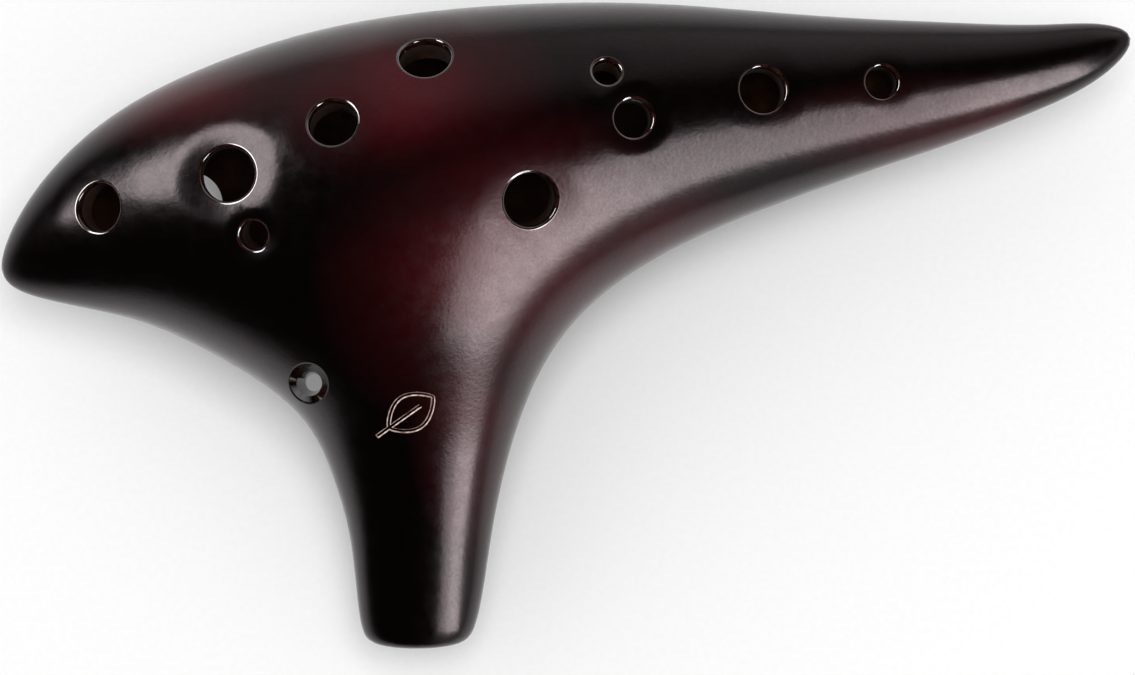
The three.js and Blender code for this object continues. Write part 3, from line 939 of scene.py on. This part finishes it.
def rim_material():
    """Glaze round the edge of a hole and down its bore: it has run smooth and shiny, and looks brown."""
    n = Nodes("rim_glaze")
    colour = n.ramp(n.noise(900, detail=3), [(0.35, (0.004, 0.0012, 0.0010)), (0.7, (0.03, 0.010, 0.007))])
    n.link(colour, n.shader.inputs["Base Color"])
    n.link(n.mottle(700, 0.05, 0.12, detail=3), n.shader.inputs["Roughness"])
    n.shader.inputs["IOR"].default_value = 1.9
    n.shader.inputs["Specular IOR Level"].default_value = 1.0
    n.link(n.bump(n.noise(900, detail=2), 0.00003, 0.3), n.shader.inputs["Normal"])
    return n.material


def clay_material():
    """Bare clay, fired dark brown, with fine grog."""
    n = Nodes("bare_clay")
    browns = [(0.3, (0.010, 0.004, 0.002)), (0.55, (0.025, 0.010, 0.005)), (0.75, (0.045, 0.021, 0.010))]
    n.link(n.ramp(n.noise(240, detail=6, roughness=0.65), browns), n.shader.inputs["Base Color"])
    n.shader.inputs["Roughness"].default_value = 0.85
    n.link(n.bump(n.noise(1500, detail=4), 0.0001, 0.6), n.shader.inputs["Normal"])
    return n.material


def painted_glint_material():
    """Pale pink painted on the edges of the leaf's grooves: a painted glint where those edges catch the
    light.
    """
    n = Nodes("painted_glint_glaze")
    colour = n.ramp(n.noise(1200, detail=4), [(0.35, (0.22, 0.11, 0.08)), (0.65, (0.85, 0.68, 0.62))])
    n.link(colour, n.shader.inputs["Base Color"])
    n.shader.inputs["Roughness"].default_value = 0.3
    return n.material


def floor_material():
    """Matt white paper. In glossy reflections its colour darkens away from the middle of the floor, a
    painted pool of light that falls off into the dark of the studio.
    """
    n = Nodes("paper_floor")
    paper = n.mottle(900, 0.84, 0.86, detail=3)
    away = n.add("ShaderNodeVectorMath", operation="LENGTH")
    n.link(n.place, away.inputs[0])
    # painted light: seen in reflections only, the paper's colour falls from full near the middle to 0.3
    # further out
    painted_light_pool = n.spread(away.outputs["Value"], 0.07, 0.32, 1.0, 0.3)
    path = n.add("ShaderNodeLightPath").outputs["Is Glossy Ray"]
    falloff = n.add("ShaderNodeMix")
    falloff.inputs["A"].default_value = 1.0
    n.link(path, falloff.inputs["Factor"])
    n.link(painted_light_pool, falloff.inputs["B"])
    grey = n.calculate("MULTIPLY", paper, falloff.outputs["Result"])
    n.link(grey, n.shader.inputs["Base Color"])
    n.shader.inputs["Roughness"].default_value = 0.95
    n.shader.inputs["Specular IOR Level"].default_value = 0.1
    return n.material


SHIFT = frame_shift()
MATERIALS = {
    "glaze": glaze_material(), "bare_clay": clay_material(),
    "rim_glaze": rim_material(), "painted_glint_glaze": painted_glint_material(),
}

# ---------------------------------------------------------------- the five members


def build_members():
    """The two shells, and the roof and labium that are parted off the back one, and the windway's block."""
    skin_net, chamber_net = net(skin, SKIN_CELL, True), net(chamber, CHAMBER_CELL, False)
    halves = {}
    for side, name in ((1, "front"), (-1, "back")):
        sheet = clay_half(side, skin_net, chamber_net)
        halves[name] = new_object(name, lowered(np.array(sheet.points)), sheet.faces)
        drop_loose(halves[name].data)

    front = subtract(halves["front"], windway_cutter(), tongue_cutter())
    subtract(front, *[groove_cutter(line, closed) for line, closed in leaf_lines()])

    back = subtract(halves["back"], tongue_cutter(), window_cutter())
    roof = common(duplicate(back, "roof"), roof_prism())
    edge = common(duplicate(back, "edge"), labium_prism())
    subtract(back, roof_prism(), labium_prism(), windway_cutter(), block_prism())
    subtract(roof, windway_cutter())
    block = block_prism(BLOCK_PLAY)

    finish_piece(front, "front_shell")
    finish_piece(back, "back_shell")
    finish_piece(block, "windway_block")
    finish_piece(roof, "windway_roof")
    finish_piece(edge, "labium")


build_members()

# ---------------------------------------------------------------- floor, light, camera

WALL_GLOW = 0.3  # pale wall seen in reflections, on the side away from the mouthpiece
CORNER_GLOW = 0.35  # brighter part of that wall
STRIP_GLOW = 0.4  # pale strip low down, beyond the tail
ROOM_GLOW = 0.51  # what lights the matt surfaces from all round
ROOM_SIDE_GLOW = 0.82  # and what is added from beyond the head
BACKDROP_GLOW = 0.93  # what the camera sees behind the floor

# In metres, and for the radiances watts per square metre and steradian.
FLOOR_HALF = 2.0
KEY_DISTANCE, FILL_DISTANCE = 6, 0.9
KEY_RADIANCE, BACK_RADIANCE, OVERHEAD_RADIANCE = 4.2, 7.6, 9.7
CAMERA_HEIGHT, FIELD_WIDTH = 0.55, 0.19135  # over the parting surface, and the width of the view there
SENSOR_WIDTH = 0.036
VIEW_X, VIEW_Y = 0.17, -1.85  # point of the drawing in the middle of the view, in millimetres


def build_floor():
    """Square floor at the height that the ocarina lies on."""
    corners = [(FLOOR_HALF * x, FLOOR_HALF * y, 0) for x, y in ((-1, -1), (1, -1), (1, 1), (-1, 1))]
    floor = new_object("floor", corners, [(0, 1, 2, 3)])
    floor.data.materials.append(floor_material())


def toward(azimuth, elevation):
    """Unit direction at an azimuth from +X and an elevation."""
    a, e = math.radians(azimuth), math.radians(elevation)
    return Vector((math.cos(a) * math.cos(e), math.sin(a) * math.cos(e), math.sin(e)))


def softbox(name, place, back, roll, width, height, radiance, glossy):
    """Area light whose back points one way, turned about that direction by roll degrees.

    It shows either in glossy reflections or on matt surfaces.
    """
    data = bpy.data.lights.new(name, "AREA")
    data.shape, data.size, data.size_y = "RECTANGLE", width, height
    data.energy = radiance * math.pi * width * height
    light = bpy.data.objects.new(name, data)
    light.location = place
    turn = back.to_track_quat("Z", "Y") @ Quaternion((0, 0, 1), math.radians(roll))
    light.rotation_euler = turn.to_euler()
    light.visible_glossy, light.visible_diffuse = glossy, not glossy
    bpy.context.scene.collection.objects.link(light)


def build_world():
    """Pale room behind the floor. Glossy reflections see a dark studio with a pale wall on one side."""
    world = bpy.data.worlds.new("studio")
    bpy.context.scene.world = world
    world.use_nodes = True
    world.cycles.sampling_method = "NONE"
    tree = world.node_tree
    place = tree.nodes.new("ShaderNodeTexCoord").outputs["Generated"]

    def feed(value, socket):
        """Sets a socket to a number, or links it to another socket."""
        if isinstance(value, float):
            socket.default_value = value
        else:
            tree.links.new(value, socket)

    def math_node(operation, a, b):
        node = tree.nodes.new("ShaderNodeMath")
        node.operation = operation
        feed(a, node.inputs[0])
        feed(b, node.inputs[1])
        return node.outputs["Value"]

    def facing(way, low, high, top):
        """Rises from 0 to top while the direction's share along way goes from low to high."""
        share = tree.nodes.new("ShaderNodeVectorMath")
        share.operation = "DOT_PRODUCT"
        tree.links.new(place, share.inputs[0])
        share.inputs[1].default_value = way
        spread = tree.nodes.new("ShaderNodeMapRange")
        spread.interpolation_type = "SMOOTHSTEP"
        for key, value in (("From Min", low), ("From Max", high), ("To Max", top)):
            spread.inputs[key].default_value = value
        tree.links.new(share.outputs["Value"], spread.inputs["Value"])
        return spread.outputs["Result"]

    def mixed(factor, a, b):
        node = tree.nodes.new("ShaderNodeMix")
        for key, value in (("Factor", factor), ("A", a), ("B", b)):
            feed(value, node.inputs[key])
        return node.outputs["Result"]

    wall = facing(toward(80, 0), 0.5, 0.85, WALL_GLOW)
    corner = facing(toward(52, 0), 0.78, 0.97, CORNER_GLOW)
    low_down = facing((0, 0, -1), -0.46, -0.36, STRIP_GLOW)
    strip = math_node("MULTIPLY", low_down, facing((1, 0, 0), 0.1, 0.5, 1.0))
    studio = math_node("MAXIMUM", math_node("ADD", wall, corner), strip)
    room = math_node("ADD", facing(toward(150, 0), 0.0, 1.0, ROOM_SIDE_GLOW), ROOM_GLOW)
    path = tree.nodes.new("ShaderNodeLightPath").outputs
    seen = mixed(path["Is Camera Ray"], room, BACKDROP_GLOW)
    glow = mixed(path["Is Glossy Ray"], seen, studio)
    tree.links.new(glow, tree.nodes["Background"].inputs["Strength"])
    tree.nodes["Background"].inputs["Color"].default_value = (1, 1, 1, 1)


def build_camera():
    """Camera straight above, over the middle of the ocarina."""
    data = bpy.data.cameras.new("camera")
    data.sensor_width = SENSOR_WIDTH * 1000
    data.lens = SENSOR_WIDTH * 1000 * CAMERA_HEIGHT / FIELD_WIDTH
    camera = bpy.data.objects.new("camera", data)
    x, y, z = (np.array((VIEW_X, VIEW_Y, 0)) + SHIFT) / 1000
    camera.location = (x, y, z + CAMERA_HEIGHT)
    bpy.context.scene.collection.objects.link(camera)
    bpy.context.scene.camera = camera


build_floor()
build_world()
softbox("key_box", KEY_DISTANCE * toward(-27, 53), toward(-103.5, 4.2), -24, 1.6, 8.9,
        KEY_RADIANCE, glossy=True)
softbox("key_core", KEY_DISTANCE * toward(-23, 51.6), toward(-102.5, 5.2), -26, 1.0, 9.3,
        KEY_RADIANCE, glossy=True)
softbox("back_box", FILL_DISTANCE * toward(153, 36), toward(153, 36), 0, 0.5, 0.27,
        BACK_RADIANCE, glossy=True)
softbox("overhead_box", FILL_DISTANCE * toward(55, 84), toward(55, 84), 0, 0.39, 0.39,
        OVERHEAD_RADIANCE, glossy=False)
build_camera()
bpy.context.scene.view_settings.view_transform = "Standard"
